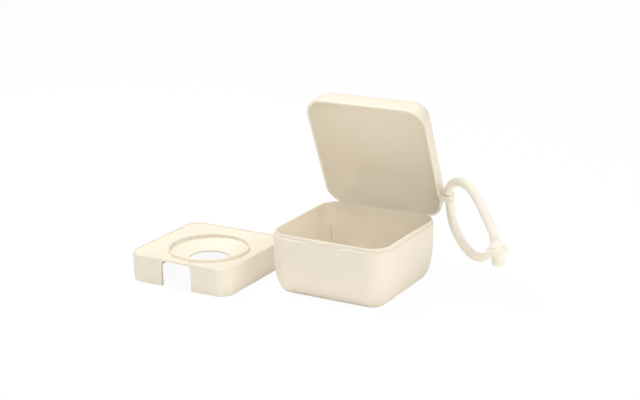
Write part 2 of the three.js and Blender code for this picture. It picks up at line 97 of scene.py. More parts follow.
# Room between parts that turn or snap together, in metres
WIRE_ROOM = 0.0003
EAR_ROOM = 0.0003
BEAD_ROOM = 0.00025
BUTTON_ROOM = 0.00002
KNUCKLE_GAP = 0.00035
# Share of a half width beyond which a place lies on the front wall
FRONT = 0.9
# How late the thumb recess flares out on its way up, and how early the dish falls away
RECESS_POWER = 4
DISH_POWER = 1.5
# Lid: corner radius lost per length drawn in, share of the wall that the ear's root is sunk in
CORNER_SHRINK = 0.6
EAR_SUNK = 0.9
# Bearing at which a hinge web leaves its barrel
WEB_JOIN = radians(150)
# Strap: length of the knob's end per radius, thickness of the tube in its eyelet per eyelet thickness
KNOB_END = 0.6
EYELET_FIT = 0.94

# Noise scale and depth in metres of the grain
PLASTIC_GRAIN = (2600, 0.00004)
SILICONE_GRAIN = (3400, 0.00003)
GRAIN_STRENGTH = 0.35
GRAIN_SHEEN = 0.08
CLOUD_SCALE = 45
CLOUD_SHEEN = 0.1
CLOUD_TONES = (0.985, 1.012)
# Light that enters the surface: its share, its reach in metres and how far each colour goes
SEE_IN = 0.1
SEE_IN_REACH = 0.0015
SEE_IN_COLOURS = (1, 1, 0.95)
MOULDED_IOR = 1.49
STREAK_SCALE = 5200
STREAK_STRETCH = (0.05, 1, 1)
STREAK_SHEEN = 0.2
STREAK_TONES = (0.85, 1.1)

# Place and size of each lamp, and the point that all of them face
LAMPS = {
    "top": ((-0.43, 0, 0.88), 0.35),
    "front": ((0.45, -0.9, 0.4), 0.35),
    "side": ((0.98, 0.15, 0.42), 0.6),
}
LAMP_AIM = Vector((0, 0, 0.04))
WHITE = (1, 1, 1, 1)
FLOOR_LOOK = {"Base Color": (0.96, 0.96, 0.96, 1), "Roughness": 0.9, "Specular IOR Level": 0.1}
FLOOR_REACH = 3
FLOOR_DROP = 0.0001
# The camera's sensor width in millimetres and its nearest distance in metres
SENSOR = 36
NEAREST = 0.01


def setting(make=bpy.props.FloatProperty, **fixed):
    """A function that makes user settings of one kind."""
    def made(name, description, default):
        return make(name=name, description=description, default=default, **fixed)
    return made


length = setting(min=0, precision=5, unit="LENGTH")
angle = setting(subtype="ANGLE", unit="ROTATION")
share = setting(min=0, max=1, precision=3, subtype="FACTOR")
amount = setting(precision=3)
colour = setting(bpy.props.FloatVectorProperty, min=0, max=1, size=3, subtype="COLOR")
location = setting(bpy.props.FloatVectorProperty, size=3, precision=6, unit="LENGTH")
amounts = setting(bpy.props.FloatVectorProperty, size=3, precision=3)


class TubSizes(bpy.types.PropertyGroup):
    side: length("Side", "Width of the square tub", 0.0734)
    corner: length("Corner", "Radius of the tub's upright corners", 0.0125)
    wall: length("Wall", "Thickness of the wall", 0.00185)
    floor: length("Floor", "Thickness of the floor", 0.0018)
    taper: length("Taper", "Lean of the wall at its foot", 0.00065)
    ledge: length("Ledge height", "Height of the ledge under the lid", 0.0333)
    foot_width: length("Foot width", "Width of the curve to the underside", 0.0064)
    foot_height: length("Foot height", "Height of that curve", 0.0194)
    lip_height: length("Lip height", "Height of the lip above the ledge", 0.0021)
    lip_thickness: length("Lip thickness", "Thickness of the lip", 0.0011)
    rib_top: length("Rib top", "Height of the tops of the corner ribs", 0.0212)
    rib_thickness: length("Rib thickness", "Thickness of a corner rib", 0.0017)
    rib_proud: length("Rib reach", "Reach of a rib out of the corner", 0.0019)
    recess_width: length("Recess width", "Width of the thumb recess at the ledge", 0.024)
    recess_foot: length("Recess foot", "Width of the recess at its foot", 0.015)
    recess_height: length("Recess height", "Height of the recess", 0.0052)


class LidSizes(bpy.types.PropertyGroup):
    wall: length("Wall", "Thickness of the lid's wall", 0.0013)
    top: length("Top", "Thickness of the lid's top", 0.0018)
    height: length("Height", "Height of the lid from its rim", 0.0195)
    corner: length("Corner", "Radius of the lid's corners at the rim", 0.0112)
    lean: length("Lean", "Lean of the wall at the top", 0.002)
    crown: length("Crown", "Rise of the top's middle", 0.0006)
    shoulder_width: length("Shoulder width", "Width of the curve from side to top", 0.01)
    shoulder_height: length("Shoulder height", "Height of that curve", 0.0175)
    lip_gap: length("Lip gap", "Room between the lip and the lid", 0.00035)
    seam_gap: length("Seam gap", "Gap between the closed lid and the ledge", 0.0003)
    open: angle("Opening", "Angle of the lid from closed", radians(66.1))
    ear_reach: length("Ear reach", "From the lid's side to the ear's bore", 0.00415)
    ear_from_rear: length("Ear place", "From the lid's rear to the ear's bore", 0.0148)
    ear_wall: length("Ear wall", "Thickness of the ear round its bore", 0.0012)


class HingeSizes(bpy.types.PropertyGroup):
    pin_diameter: length("Wire diameter", "Diameter of the hinge wire", 0.0012)
    knuckle_wall: length("Knuckle wall", "Thickness of a knuckle round the wire", 0.001)
    lid_knuckle: length("Lid knuckle", "Length of the lid's knuckle", 0.022)
    tub_knuckle: length("Tub knuckle", "Length of each of the tub's knuckles", 0.009)
    setback: length("Setback", "From the tub's rear wall to the hinge line", 0.0013)
    drop: length("Drop", "From the ledge down to the hinge line", 0.0011)


class StrapSizes(bpy.types.PropertyGroup):
    diameter: length("Diameter", "Diameter of the strap's tube", 0.005)
    waist: length("Waist", "Diameter of the strap in the ear's bore", 0.0036)
    heading: angle("Heading", "From the right towards the front", radians(29.4))
    lean: angle("Button lean", "Lean of the button from upright", radians(20))
    reach: length("Button reach", "From the ear's bore out to the button", 0.0448)
    drop: length("Button drop", "From the ear's bore down to the eyelet", 0.0203)
    eyelet: length("Eyelet diameter", "Outside diameter of the eyelet", 0.0126)
    eyelet_thickness: length("Eyelet thickness", "Thickness of the eyelet", 0.0034)
    neck: length("Neck diameter", "Diameter of the button's neck", 0.004)
    shoulder: length("Shoulder diameter", "Diameter of the flare above the eyelet", 0.0102)
    flare: length("Flare length", "Length of the flare up to the tube", 0.005)
    knob: length("Knob diameter", "Diameter of the knob below the eyelet", 0.0076)
    knob_length: length("Knob length", "Length of the knob", 0.007)


class TraySizes(bpy.types.PropertyGroup):
    side: length("Side", "Width of the square tray", 0.0678)
    height: length("Height", "Height of the tray", 0.0164)
    corner: length("Corner", "Radius of the tray's corners", 0.0088)
    taper: length("Taper", "Lean of the skirt at its foot", 0.0003)
    skirt: length("Skirt", "Thickness of the skirt", 0.0015)
    plate: length("Plate", "Thickness of the plate", 0.0015)
    rim: length("Rim", "Width of the rim round the plate", 0.0008)
    rim_drop: length("Rim drop", "Depth of the step inside the rim", 0.0006)
    plate_drop: length("Plate drop", "Depth of the plate at the ring", 0.0029)
    ring: length("Ring diameter", "Outside diameter of the raised ring", 0.0478)
    ring_thickness: length("Ring thickness", "Thickness of the raised ring", 0.001)
    ring_rise: length("Ring rise", "Height of the ring above the plate", 0.0018)
    hole: length("Hole diameter", "Diameter of the hole in the middle", 0.023)
    hole_drop: length("Hole drop", "Depth of the hole's edge", 0.0074)
    hole_edge: length("Hole edge", "Thickness of the plate at the hole", 0.0011)
    notch_width: length("Notch width", "Width of the finger notch", 0.02)
    notch_drop: length("Notch top", "From the tray's top down to the notch", 0.0013)
    notch_depth: length("Notch depth", "Reach of the notch behind the skirt's front", 0.002)
    place: location("Place", "Where the tray's middle stands", (-0.0842, -0.0224, 0))


class Finishes(bpy.types.PropertyGroup):
    plastic: colour("Box plastic", "Colour of the tub and the lid", (0.89, 0.832, 0.722))
    tray: colour("Tray plastic", "Colour of the tray", (0.9, 0.842, 0.733))
    silicone: colour("Silicone", "Colour of the strap", (0.955, 0.91, 0.815))
    steel: colour("Steel", "Colour of the hinge wire", (0.55, 0.55, 0.56))
    plastic_roughness: share("Plastic roughness", "Roughness of the moulded plastic", 0.48)
    silicone_roughness: share("Silicone roughness", "Roughness of the silicone", 0.55)
    steel_roughness: share("Steel roughness", "Roughness of the wire", 0.3)


class Studio(bpy.types.PropertyGroup):
    azimuth: angle("Azimuth", "Bearing from the front towards the right", radians(29.55))
    elevation: angle("Elevation", "Height above the table as an angle", radians(16.868))
    roll: angle("Roll", "Camera's roll", radians(-0.489))
    distance: length("Distance", "From the camera to its target", 0.79406)
    lens: amount("Lens", "Focal length in millimetres", 78.44)
    target: location("Target", "Point in the middle of the camera's view", (-0.022074, 0, 0.046373))
    low_sky: amount("Low sky", "Strength of the even light from all round", 0.255)
    high_sky: amount("High sky", "Strength gained at the brightest place", 0.53)
    sky_way: amounts("Sky direction", "Towards the brightest place of the sky", (0.7, 0, 1))
    top: amount("Top lamp", "Power of the lamp above the box in watts", 5.35)
    front: amount("Front lamp", "Power of the lamp in front in watts", 1.6)
    side: amount("Side lamp", "Power of the lamp on the right in watts", 2.05)
    warmth: colour("Light colour", "Colour of the lamps and the sky", (1, 0.973, 0.93))
    whiteness: share("Floor whiteness", "Share of plain white that the camera sees", 0.945)


GROUPS = {
    "soother_tub": TubSizes,
    "soother_lid": LidSizes,
    "soother_hinge": HingeSizes,
    "soother_strap": StrapSizes,
    "soother_tray": TraySizes,
    "soother_finish": Finishes,
    "soother_studio": Studio,
}


def smooth(value):
    """0 below 0, 1 above 1, with a soft S between."""
    value = min(max(value, 0), 1)
    return value * value * (3 - 2 * value)


def square_loop(half, corner, height, side_steps=SIDE_STEPS):
    """A square with round corners at one height, its points closest in the middle of each side."""
    flat = half - corner
    points = []
    for side, steps in enumerate(side_steps):
        turn = Matrix.Rotation(side * pi / 2, 3, "Z")
        for step in range(CORNER_STEPS):
            bearing = step / CORNER_STEPS * pi / 2
            x, y = flat + corner * cos(bearing), flat + corner * sin(bearing)
            points.append(turn @ Vector((x, y, height)))
        for step in range(steps):
            across = 2 * step / steps - 1
            place = copysign(abs(across) ** SIDE_CROWDING, across)
            points.append(turn @ Vector((-flat * place, half, height)))
    return points


def round_loop(bearings, radius, height):
    """A circle whose points lie on the same bearings as a square loop's."""
    return [Vector((p.x, p.y, 0)).normalized() * radius + Z_AXIS * height for p in bearings]


def curve(pairs, end, flat_first, steps=ROUND_STEPS):
    """Carries pairs of numbers on along a quarter of an ellipse."""
    x, y = pairs[-1]
    for step in range(1, steps + 1):
        turn = step / steps * pi / 2
        early, late = sin(turn), 1 - cos(turn)
        first, second = (early, late) if flat_first else (late, early)
        pairs.append((x + (end[0] - x) * first, y + (end[1] - y) * second))
    return pairs


def straight(pairs, end, steps):
    """Carries pairs of numbers on in even steps along a line."""
    x, y = pairs[-1]
    for step in range(1, steps + 1):
        pairs.append((x + (end[0] - x) * step / steps, y + (end[1] - y) * step / steps))
    return pairs


def ring(inner, outer, half, soft, steps=ROUND_STEPS):
    """The profile of a bored barrel with round outer edges."""
    pairs = curve([(inner, -half), (outer - soft, -half)], (outer, soft - half), True, steps)
    pairs = curve([*pairs, (outer, half - soft)], (outer - soft, half), False, steps)
    return [*pairs, (inner, half), (inner, -half)]


def bridged(near, far, steps):
    """Loops in even steps from one loop to another, without the first."""
    return [[a.lerp(b, step / steps) for a, b in zip(near, far)] for step in range(1, steps + 1)]


def only_verts(made):
    """The vertices among what an operator has made."""
    return [item for item in made if isinstance(item, bmesh.types.BMVert)]


def looped(bm, places, capped=False):
    """Adds a loop of edges through some places and returns its vertices."""
    verts = list(bmesh.ops.create_circle(bm, cap_ends=capped, segments=len(places), radius=1)["verts"])
    for vert, place in zip(verts, places):
        vert.co = place
    return verts


def stacked(loops, hoop=False):
    """A closed skin over loops with the same count. A hoop's last loop joins its first."""
    bm = bmesh.new()
    verts = looped(bm, loops[0])
    first = edges = list(bm.edges)
    for loop in loops[1:] + ([loops[0]] if hoop else []):
        order = {vert: index for index, vert in enumerate(verts)}
        made = bmesh.ops.extrude_edge_only(bm, edges=edges)["geom"]
        fresh = set(only_verts(made))
        edges = [e for e in made if isinstance(e, bmesh.types.BMEdge) and fresh.issuperset(e.verts)]
        for vert in fresh:
            for edge in vert.link_edges:
                other = edge.other_vert(vert)
                if other in order:
                    verts[order[other]] = vert
        for vert, place in zip(verts, loop):
            vert.co = place
    if hoop:
        bmesh.ops.remove_doubles(bm, verts=bm.verts, dist=WELD)
    else:
        bmesh.ops.contextual_create(bm, geom=first)
        bmesh.ops.contextual_create(bm, geom=edges)
    bmesh.ops.dissolve_degenerate(bm, dist=WELD, edges=list(bm.edges))
    bmesh.ops.recalc_face_normals(bm, faces=bm.faces)
    return bm


def spun(profile, place):
    """A body turned about its own Z axis from pairs of radius and height, and put in its place."""
    bm = bmesh.new()
    chain = [bm.verts.new((radius, 0, height)) for radius, height in profile]
    edges = [bm.edges.new(pair) for pair in zip(chain, chain[1:])]
    bmesh.ops.spin(
        bm, geom=chain + edges, cent=(0, 0, 0), axis=(0, 0, 1), angle=2 * pi,
        steps=TURN_STEPS, use_merge=True,
    )
    bmesh.ops.remove_doubles(bm, verts=bm.verts, dist=WELD)
    bmesh.ops.recalc_face_normals(bm, faces=bm.faces)
    bmesh.ops.transform(bm, matrix=place, verts=bm.verts)
    return bm


def pushed(outline, depth):
    """A flat outline pushed to a closed solid."""
    bm = bmesh.new()
    looped(bm, outline, capped=True)
    made = bmesh.ops.extrude_face_region(bm, geom=list(bm.faces))["geom"]
    bmesh.ops.translate(bm, vec=depth, verts=only_verts(made))
    bmesh.ops.recalc_face_normals(bm, faces=bm.faces)
    return bm


def rounded(bm, edges, size, segments):
    """Rounds some edges of a bmesh."""
    bmesh.ops.bevel(
        bm, geom=edges, offset=size, affect="EDGES", segments=segments, profile=0.5, material=-1,
        clamp_overlap=True,
    )
    return bm


def mesh_of(bm, name):
    """A new mesh from a bmesh, which is freed."""
    mesh = bpy.data.meshes.new(name)
    bm.to_mesh(mesh)
    bm.free()
    return mesh


def placed(name, data):
    """A new object in the scene."""
    thing = bpy.data.objects.new(name, data)
    bpy.context.scene.collection.objects.link(thing)
    return thing


def merged(parts):
    """One bmesh that holds all the parts."""
    whole = bmesh.new()
    for part in parts:
        mesh = mesh_of(part, "part")
        whole.from_mesh(mesh)
        bpy.data.meshes.remove(mesh)
    return whole


def finished(bm, name, material):
    """An object at the origin with the mesh, smooth shading and one material."""
    mesh = mesh_of(bm, name)
    mesh.shade_smooth()
    mesh.set_sharp_from_angle(angle=SHARP_ANGLE)
    mesh.materials.append(material)
    return placed(name, mesh)


def cut_out(piece, cutter_bm):
    """Takes a cutter out of a piece and keeps the result in the piece's mesh."""
    cutter = placed("cutter", mesh_of(cutter_bm, "cutter"))
    step = piece.modifiers.new("Cut", "BOOLEAN")
    step.operation = "DIFFERENCE"
    step.solver = "EXACT"
    step.object = cutter
    taken = bpy.data.meshes.new_from_object(piece.evaluated_get(bpy.context.evaluated_depsgraph_get()))
    piece.modifiers.clear()
    spent = (piece.data, cutter.data)
    piece.data = taken
    bpy.data.objects.remove(cutter)
    for mesh in spent:
        bpy.data.meshes.remove(mesh)


def handed_over(piece, body, node):
    """Puts a finished piece on its body, in place of its CAD node."""
    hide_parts(node)
    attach(piece, body)


class Link:
    """A shader socket that takes part in sums."""

    def __init__(self, shader, socket):
        self.shader = shader
        self.socket = socket

    def _with(self, operation, first, second):
        return self.shader.read("ShaderNodeMath", 0, {0: first, 1: second}, operation=operation)

    def __add__(self, other):
        return self._with("ADD", self, other)

    def __sub__(self, other):
        return self._with("SUBTRACT", self, other)

    def __rsub__(self, other):
        return self._with("SUBTRACT", other, self)

    def __mul__(self, other):
        return self._with("MULTIPLY", self, other)

    __radd__ = __add__
    __rmul__ = __mul__


class Shader:
    """The nodes of a material or of the world."""

    def __init__(self, owner):
        self.owner = owner
        owner.use_nodes = True
        self.tree = owner.node_tree
        self.surface = self.tree.nodes.get("Principled BSDF")

    def node(self, kind, sockets, **settings):
        """Adds a node, sets it up and fills its sockets with values or links."""
        node = self.tree.nodes.new(kind)
        for key, value in settings.items():
            setattr(node, key, value)
        self.fill(node, sockets)
        return node

    def fill(self, node, sockets):
        """Links a node's sockets, or sets their own values."""
        for key, value in dict(sockets).items():
            if isinstance(value, Link):
                self.tree.links.new(value.socket, node.inputs[key])
            else:
                node.inputs[key].default_value = value

    def read(self, kind, output, sockets=(), **settings):
        """A link from one output of a new node."""
        return Link(self, self.node(kind, sockets, **settings).outputs[output])

    def noise(self, scale, detail):
        """Cloudy values about one half."""
        place = self.read("ShaderNodeTexCoord", "Object")
        return self.read("ShaderNodeTexNoise", "Fac", {"Vector": place, "Scale": scale, "Detail": detail})

    def varied(self, factor, tone, shares):
        """A tone that varies between two shares of itself."""
        low, high = ((*(min(channel * part, 1) for channel in tone), 1) for part in shares)
        return self.read("ShaderNodeMix", 2, {0: factor, 6: low, 7: high}, data_type="RGBA")

    def blend(self, factor, first, second, output):
        """Mixes two shader nodes and sends them to a new output node."""
        sockets = {0: factor, 1: Link(self, first.outputs[0]), 2: Link(self, second.outputs[0])}
        self.node(output, {"Surface": self.read("ShaderNodeMixShader", 0, sockets)})


def moulded(name, tone, roughness, grain):
    """Moulded plastic or silicone: an even tone, a fine grain and a softly uneven sheen."""
    shader = Shader(bpy.data.materials.new(name))
    scale, depth = grain
    cloud = shader.noise(CLOUD_SCALE, detail=3)
    fine = shader.noise(scale, detail=4)
    relief = {"Height": fine, "Distance": depth, "Strength": GRAIN_STRENGTH}
    shader.fill(shader.surface, {
        "Base Color": shader.varied(cloud, tone, CLOUD_TONES),
        "Roughness": roughness + (cloud - 0.5) * CLOUD_SHEEN + (fine - 0.5) * GRAIN_SHEEN,
        "Normal": shader.read("ShaderNodeBump", "Normal", relief),
        "Subsurface Weight": SEE_IN,
        "Subsurface Radius": SEE_IN_COLOURS,
        "Subsurface Scale": SEE_IN_REACH,
        "IOR": MOULDED_IOR,
    })
    return shader.owner


def drawn_wire(name, tone, roughness):
    """Drawn steel wire with faint streaks along its length."""
    shader = Shader(bpy.data.materials.new(name))
    place = shader.read("ShaderNodeTexCoord", "Object")
    place = shader.read("ShaderNodeMapping", 0, {"Vector": place, "Scale": STREAK_STRETCH})
    streaks = shader.read("ShaderNodeTexNoise", "Fac", {"Vector": place, "Scale": STREAK_SCALE})
    shader.fill(shader.surface, {
        "Base Color": shader.varied(streaks, tone, STREAK_TONES),
        "Roughness": roughness + (streaks - 0.5) * STREAK_SHEEN,
        "Metallic": 1,
    })
    return shader.owner


class Box:
    """Sizes that follow from the user's sizes and are shared by several pieces."""

    def __init__(self, scene):
        tub, lid, hinge = scene.soother_tub, scene.soother_lid, scene.soother_hinge
        self.tub, self.lid, self.hinge = tub, lid, hinge
        self.strap, self.tray, self.finish = scene.soother_strap, scene.soother_tray, scene.soother_finish
        self.half = tub.side / 2
        self.lip_half = self.half - tub.wall + tub.lip_thickness
        self.lid_half = self.lip_half + lid.lip_gap + lid.wall
        self.rim = tub.ledge + lid.seam_gap
        self.bore = hinge.pin_diameter / 2 + WIRE_ROOM
        self.barrel = self.bore + hinge.knuckle_wall
        self.sweep = self.barrel + KNUCKLE_GAP
        self.line = Vector((0, self.half + hinge.setback, tub.ledge - hinge.drop))
        self.tub_knuckle = hinge.lid_knuckle / 2 + KNUCKLE_GAP + hinge.tub_knuckle / 2
        self.ear_radius = self.strap.waist / 2 + EAR_ROOM + lid.ear_wall
        reach = self.lid_half + lid.ear_reach
        self.eye_closed = Vector((reach, self.lid_half - lid.ear_from_rear, self.rim + self.ear_radius))
        swing = Matrix.Rotation(-lid.open, 4, "X")
        self.open = Matrix.Translation(self.line) @ swing @ Matrix.Translation(-self.line)
        self.eye = self.open @ self.eye_closed
        self.eye_axis = swing @ Vector((0, -1, 0))
        self.bead_line = tub.ledge + BEAD_RISE

    def bead_height(self, place, radius, back):
        """How far a bar with round ends stands out of a plane a little in front of its middle."""
        beyond = max(abs(place.x) - BEAD_LENGTH / 2, 0)
        off = hypot(beyond, place.z - self.bead_line)
        return max(sqrt(max(radius * radius - off * off, 0)) - back, 0)

    def cleared(self, place, low, high):
        """Moves a place out of the round space that the other part's knuckle sweeps."""
        if not low < place.x < high:
            return place
        off = Vector((0, place.y - self.line.y, place.z - self.line.z))
        if off.length >= self.sweep:
            return place
        return Vector((place.x, *self.line.yz)) + off.normalized() * self.sweep


def tub_square(box, inset, height):
    """Half width and corner radius of the tub, drawn in from its widest."""
    drawn = inset + box.tub.taper * max(0, 1 - height / box.tub.ledge)
    return box.half - drawn, box.tub.corner - drawn


def tub_loop(box, inset, height):
    """One outline of the tub, drawn in from its widest."""
    return square_loop(*tub_square(box, inset, height), height, TUB_SIDE_STEPS)


def with_recess(box, place):
    """Pulls the front wall in to the sloping recess, and puts the snap bead on the lip."""
    tub = box.tub
    if place.y > -box.half * FRONT:
        return place
    foot = tub.ledge - tub.recess_height
    rise = (place.z - foot) / tub.recess_height
    if rise > 0:
        lean = tub.taper * tub.recess_height / tub.ledge
        slope = -box.lip_half - (tub.wall - tub.lip_thickness - lean) * max(1 - rise, 0)
        flare = (tub.recess_width - tub.recess_foot) / 2
        high = min(rise, 1)
        half_width = tub.recess_foot / 2 + flare * high ** RECESS_POWER
        slant = hypot(1, RECESS_POWER * flare * high ** (RECESS_POWER - 1) / tub.recess_height)
        inside = smooth((half_width - abs(place.x)) / slant / RECESS_ROUNDING + 0.5)
        place = Vector((place.x, place.y + (max(place.y, slope) - place.y) * inside, place.z))
    bead = box.bead_height(place, BEAD_RADIUS, BEAD_RADIUS - BEAD_PROUD)
    if bead > 0 and place.z > tub.ledge:
        place = Vector((place.x, place.y - bead, place.z))
    return place


def tub_shell(box):
    """The tub's wall and floor, from the underside over the lip to the inside of the floor."""
    tub = box.tub
    step = tub.wall - tub.lip_thickness
    top = tub.ledge + tub.lip_height
    lip_low = top - EDGE_ROUNDING
    lip_blend = LEDGE_ROUNDING / 3
    outside = curve([(tub.foot_width, 0)], (0, tub.foot_height), True, CURVE_STEPS)
    straight(outside, (0, tub.ledge - tub.recess_height), ROUND_STEPS)
    straight(outside, (0, tub.ledge - LEDGE_ROUNDING), 2 * FINE_STEPS)
    curve(outside, (LEDGE_ROUNDING, tub.ledge), False)
    straight(outside, (step - lip_blend, tub.ledge), ROUND_STEPS)
    curve(outside, (step, tub.ledge + lip_blend), True)
    straight(outside, (step, lip_low), FINE_STEPS)
    curve(outside, (step + EDGE_ROUNDING, top), False)
    inside = curve([(tub.wall - EDGE_ROUNDING, top)], (tub.wall, lip_low), True)
    straight(inside, (tub.wall, tub.foot_height), WALL_STEPS)
    curve(inside, (tub.foot_width, tub.floor), False, CURVE_STEPS)
    clear = box.hinge.lid_knuckle / 2 + KNUCKLE_GAP
    loops = []
    for inset, height in outside:
        places = (with_recess(box, place) for place in tub_loop(box, inset, height))
        loops.append([box.cleared(place, -clear, clear) for place in places])
    loops += [tub_loop(box, inset, height) for inset, height in inside]
    return stacked(loops)


def corner_reach(box, inset, height):
    """How far the tub's corner lies from its middle at an inset and a height."""
    half, corner = tub_square(box, inset, height)
    return sqrt(2) * (half - corner) + corner


def corner_rib(box, bearing):
    """An upright rib in an inner corner of the tub, with a softly rounded top."""
    tub = box.tub
    face = corner_reach(box, tub.wall, tub.ledge) - tub.rib_proud
    half = tub.rib_thickness / 2
    soft = half / 3
    turn = Matrix.Rotation(bearing, 3, "Z")
    sections = straight([(0, tub.floor)], (0, tub.rib_top - soft), CURVE_STEPS)
    curve(sections, (soft, tub.rib_top), False)
    loops = []
    for drawn, height in sections:
        reach = max(min((tub.foot_height - height) / (tub.foot_height - tub.floor), 1), 0)
        inset = tub.foot_width - (tub.foot_width - tub.wall) * sqrt(1 - reach * reach)
        back = corner_reach(box, inset - tub.wall / 2, height)
        near = min(face + drawn, back - soft)
        side = half - drawn
        loop = curve([(back, -side), (near + soft, -side)], (near, soft - side), True)
        loop = curve([*loop, (near, side - soft)], (near + soft, side), False)
        loops.append([turn @ Vector((x, y, height)) for x, y in [*loop, (back, side)]])
    return stacked(loops)


def knuckle(box, middle, size, wall_y, web_z, edge_z):
    """A hinge knuckle: a bored barrel with a web that runs to the wall above or below."""
    away = Vector((0, wall_y - box.line.y, web_z - box.line.z))
    bearing = atan2(away.z, away.y)
    spread = acos(box.barrel / away.length)
    upward = away.z > 0
    touch = bearing - spread if upward else bearing + spread
    join = WEB_JOIN if upward else WEB_JOIN - 2 * pi
    inner = (box.bore + box.barrel) / 2
    left = middle - size / 2

    def on_barrel(radius, bearing):
        return Vector((left, *box.line.yz)) + Vector((0, cos(bearing), sin(bearing))) * radius

    outline = [Vector((left, wall_y, web_z)), on_barrel(box.barrel, touch)]
    for step in range(TURN_STEPS // 2 + 1):
        outline.append(on_barrel(inner, touch + (join - touch) * step / (TURN_STEPS // 2)))
    outline += [on_barrel(box.barrel, join), Vector((left, wall_y, edge_z))]
    web = pushed(outline, Vector((size, 0, 0)))
    profile = ring(box.bore, box.barrel, size / 2, WIRE_CHAMFER)
    along = Matrix.Translation((middle, *box.line.yz)) @ Matrix.Rotation(pi / 2, 4, "Y")
    return merged([web, spun(profile, along)])


def lid_loop(box, inset, height, scale=1.0, lift=0.0):
    """One outline of the closed lid, drawn in from its widest. Heights count from the rim."""
    lid = box.lid
    drawn = inset + lid.lean * min(height, lid.height) / lid.height
    points = square_loop(box.lid_half - drawn, lid.corner - drawn * CORNER_SHRINK, 0)
    return [Vector((p.x * scale, p.y * scale, box.rim + height + lift)) for p in points]


def lid_shell(box):
    """The lid's skin: down the outside from the crown to the rim, and up the inside to its ceiling."""
    lid = box.lid
    side = lid.height - lid.shoulder_height
    ceiling = lid.height - lid.top
    shares = [1 - step / CROWN_STEPS for step in range(1, CROWN_STEPS)]
    soft = EDGE_ROUNDING
    outside = curve([(lid.shoulder_width, lid.height)], (0, side), True, CURVE_STEPS)
    straight(outside, (0, soft), WALL_STEPS)
    curve(outside, (soft, 0), False)
    inside = curve([(lid.wall - soft, 0)], (lid.wall, soft), True)
    straight(inside, (lid.wall, side), FINE_STEPS)
    curve(inside, (lid.shoulder_width, ceiling), False, CURVE_STEPS)
    reach = box.hinge.tub_knuckle / 2 + KNUCKLE_GAP
    groove = BEAD_RADIUS + BEAD_ROOM
    back = box.lid_half - lid.wall - box.lip_half + BEAD_RADIUS - BEAD_PROUD

    def crown(height, part):
        return lid_loop(box, lid.shoulder_width, height, part, lid.crown * (1 - part * part))

    def kept_clear(place):
        for middle in (-box.tub_knuckle, box.tub_knuckle):
            place = box.cleared(place, middle - reach, middle + reach)
        return place

    def grooved(place):
        if place.y > -box.lid_half * FRONT:
            return place
        return place - Vector((0, box.bead_height(place, groove, back), 0))

    loops = [crown(lid.height, part) for part in reversed(shares)]
    for inset, height in outside:
        loops.append([kept_clear(place) for place in lid_loop(box, inset, height)])
    for inset, height in inside:
        loops.append([kept_clear(grooved(place)) for place in lid_loop(box, inset, height)])
    loops += [crown(ceiling, part) for part in shares]
    return stacked(loops)


def lid_ear(box):
    """The ear on the closed lid's right side: a bored tab that thins from its root to its tip."""
    lid = box.lid
    eye = box.eye_closed
    radius = box.ear_radius
    root = box.lid_half - lid.wall * EAR_SUNK - eye.x
    blend = root + lid.wall / 2
    tall = radius + EAR_FILLET
    steps = TURN_STEPS // 4
    shares = [step / steps for step in range(steps)]

    def turned(reach, part):
        bearing = (part - 0.5) * pi
        return reach * cos(bearing), reach * sin(bearing)

    outline = [turned(radius, step / (2 * steps)) for step in range(2 * steps)]
    top, end = Vector((0, radius)), Vector((blend, tall))
    bend = Vector((root + lid.wall + EAR_FILLET, radius))
    outline += [top.lerp(bend, part).lerp(bend.lerp(end, part), part) for part in shares]
    for part in shares:
        inwards, down = min(part * 2, 1), max(part * 2 - 1, 0)
        outline.append((blend + (root - blend) * inwards, tall - (tall + radius) * down))
    outline += [(root * (1 - part), -radius) for part in shares]
    count = len(outline)
    hole = box.strap.waist / 2 + EAR_ROOM
    front = eye.y - EAR_FRONT
    bore = []
    for index in range(count):
        part = min(index / (2 * steps), 1) + max(index - 2 * steps, 0) / (count - 2 * steps)
        bore.append(turned(hole, part))
    bm = bmesh.new()
    for pairs in (outline, bore):
        looped(bm, [(eye.x + x, front, eye.z + z) for x, z in pairs])
    bmesh.ops.bridge_loops(bm, edges=list(bm.edges))
    made = bmesh.ops.extrude_face_region(bm, geom=list(bm.faces))["geom"]
    tip = eye.x + radius
    for vert in only_verts(made):
        part = min(max((tip - vert.co.x) / (tip - box.lid_half), 0), 1)
        vert.co.y = eye.y + EAR_TIP_REAR + (EAR_ROOT_REAR - EAR_TIP_REAR) * part
    bmesh.ops.recalc_face_normals(bm, faces=bm.faces)
    edges = [
        edge for edge in bm.edges
        if edge.calc_face_angle(0) > SHARP_ANGLE and all(vert.co.x > box.lid_half for vert in edge.verts)
    ]
    return rounded(bm, edges, EDGE_ROUNDING, segments=3)


def route(points, fine_from):
    """A smooth path through a list of places, with its steps closest near one of them."""
    path = []
    padded = [points[0] * 2 - points[1], *points, points[-1] * 2 - points[-2]]
    for a, b, c, d in zip(padded, padded[1:], padded[2:], padded[3:]):
        knots = [0.0]
        for near, far in ((a, b), (b, c), (c, d)):
            knots.append(knots[-1] + sqrt((far - near).length))
        steps = NEAR_STEPS if (b - fine_from).length < NEAR_REACH else FAR_STEPS
        for step in range(steps):
            now = knots[1] + (knots[2] - knots[1]) * step / steps

            def between(p, q, low, high):
                return p.lerp(q, (now - knots[low]) / (knots[high] - knots[low]))

            ab, bc, cd = between(a, b, 0, 1), between(b, c, 1, 2), between(c, d, 2, 3)
            path.append(between(between(ab, bc, 0, 2), between(bc, cd, 1, 3), 1, 2))
    return [*path, points[-1]]


MILLIMETRE = 0.001
